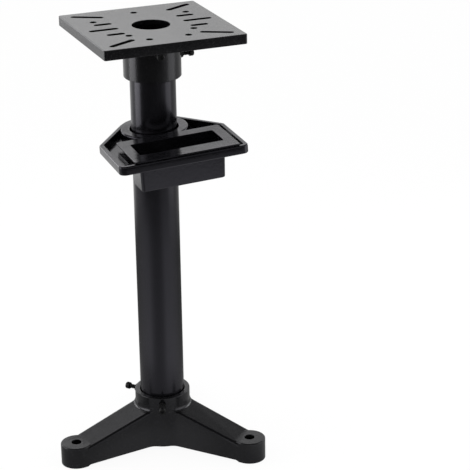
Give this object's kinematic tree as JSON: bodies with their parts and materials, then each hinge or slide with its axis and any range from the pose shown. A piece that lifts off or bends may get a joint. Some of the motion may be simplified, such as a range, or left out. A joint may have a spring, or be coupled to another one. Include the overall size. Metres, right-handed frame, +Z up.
{
  "type": "bench grinder pedestal stand",
  "caption": "Floor-standing pedestal for a bench grinder: splayed-leg cast base, tube column, slotted top plate, and a tool tray with a lift-out water pot on the column.",
  "frame": {"origin": "on the floor, at the middle of the ground that the stand covers", "axes": "+Z up along the column, -Y towards the side the tray hangs on, +X to the right seen from there, along an edge of the plate"},
  "size_m": [0.3618, 0.3854, 0.813],
  "materials": {
    "satin_black_casting": "satin black paint over a cast surface",
    "gloss_black_casting": "gloss black paint over a cast surface",
    "gloss_black_tube": "smooth gloss black paint",
    "gloss_black_pot": "gloss black paint",
    "black_fasteners": "black oxide"
  },
  "bodies": {
    "base": {"base_casting": "satin_black_casting"},
    "column": {"column_tube": "gloss_black_tube"},
    "plate": {"top_plate": "satin_black_casting"},
    "tray": {"tool_tray": "gloss_black_casting"},
    "pot": {"water_pot": "gloss_black_pot"},
    "base_front_screw": {"base_front_screw": "black_fasteners"},
    "base_front_nut": {"base_front_nut": "black_fasteners"},
    "base_left_screw": {"base_left_screw": "black_fasteners"},
    "base_left_nut": {"base_left_nut": "black_fasteners"},
    "tray_screw": {"tray_screw": "black_fasteners"},
    "tray_nut": {"tray_nut": "black_fasteners"},
    "plate_front_screw": {"plate_front_screw": "black_fasteners"},
    "plate_front_nut": {"plate_front_nut": "black_fasteners"},
    "plate_side_screw": {"plate_side_screw": "black_fasteners"},
    "plate_side_nut": {"plate_side_nut": "black_fasteners"}
  },
  "joints": [
    {"name": "column_turn", "type": "hinge", "parent": "base", "child": "column", "pos_m": [0.0325, -0.01173, 0.06], "axis": [0, 0, 1], "continuous": true},
    {"name": "plate_turn", "type": "hinge", "parent": "column", "child": "plate", "pos_m": [0.0325, -0.01173, 0.76], "axis": [0, 0, 1], "continuous": true},
    {"name": "tray_slide", "type": "slide", "parent": "column", "child": "tray", "axis": [0, 0, -1], "range_m": [-0.05, 0.43]},
    {"name": "pot_lift", "type": "slide", "parent": "tray", "child": "pot", "axis": [-0.054, 0.0021, 0.9985], "range_m": [0, 0.08]},
    {"name": "base_front_screw_turn", "type": "hinge", "parent": "base", "child": "base_front_screw", "pos_m": [0.01159, -0.06797, 0.0906], "axis": [-0.3486, -0.9373, 0], "range_deg": [0, 810]},
    {"name": "base_front_nut_turn", "type": "hinge", "parent": "base", "child": "base_front_nut", "pos_m": [0.01229, -0.0661, 0.0906], "axis": [-0.3486, -0.9373, 0], "range_deg": [0, 810]},
    {"name": "base_left_screw_turn", "type": "hinge", "parent": "base", "child": "base_left_screw", "pos_m": [-0.00574, 0.0345, 0.0906], "axis": [-0.6374, 0.7705, 0], "range_deg": [0, 810]},
    {"name": "base_left_nut_turn", "type": "hinge", "parent": "base", "child": "base_left_nut", "pos_m": [-0.00447, 0.03296, 0.0906], "axis": [-0.6374, 0.7705, 0], "range_deg": [0, 810]},
    {"name": "tray_screw_turn", "type": "hinge", "parent": "tray", "child": "tray_screw", "pos_m": [0.03637, 0.04816, 0.59604], "axis": [0.0384, 0.9993, 0], "range_deg": [0, 810]},
    {"name": "tray_nut_turn", "type": "hinge", "parent": "tray", "child": "tray_nut", "pos_m": [0.0363, 0.04616, 0.59604], "axis": [0.0384, 0.9993, 0], "range_deg": [0, 810]},
    {"name": "plate_front_screw_turn", "type": "hinge", "parent": "plate", "child": "plate_front_screw", "pos_m": [0.02415, -0.07115, 0.774], "axis": [-0.1392, -0.9903, 0], "range_deg": [0, 810]},
    {"name": "plate_front_nut_turn", "type": "hinge", "parent": "plate", "child": "plate_front_nut", "pos_m": [0.02443, -0.06917, 0.774], "axis": [-0.1392, -0.9903, 0], "range_deg": [0, 810]},
    {"name": "plate_side_screw_turn", "type": "hinge", "parent": "plate", "child": "plate_side_screw", "pos_m": [0.09242, -0.00859, 0.753], "axis": [0.9986, 0.0523, 0], "range_deg": [0, 810]},
    {"name": "plate_side_nut_turn", "type": "hinge", "parent": "plate", "child": "plate_side_nut", "pos_m": [0.09042, -0.0087, 0.753], "axis": [0.9986, 0.0523, 0], "range_deg": [0, 810]}
  ]
}
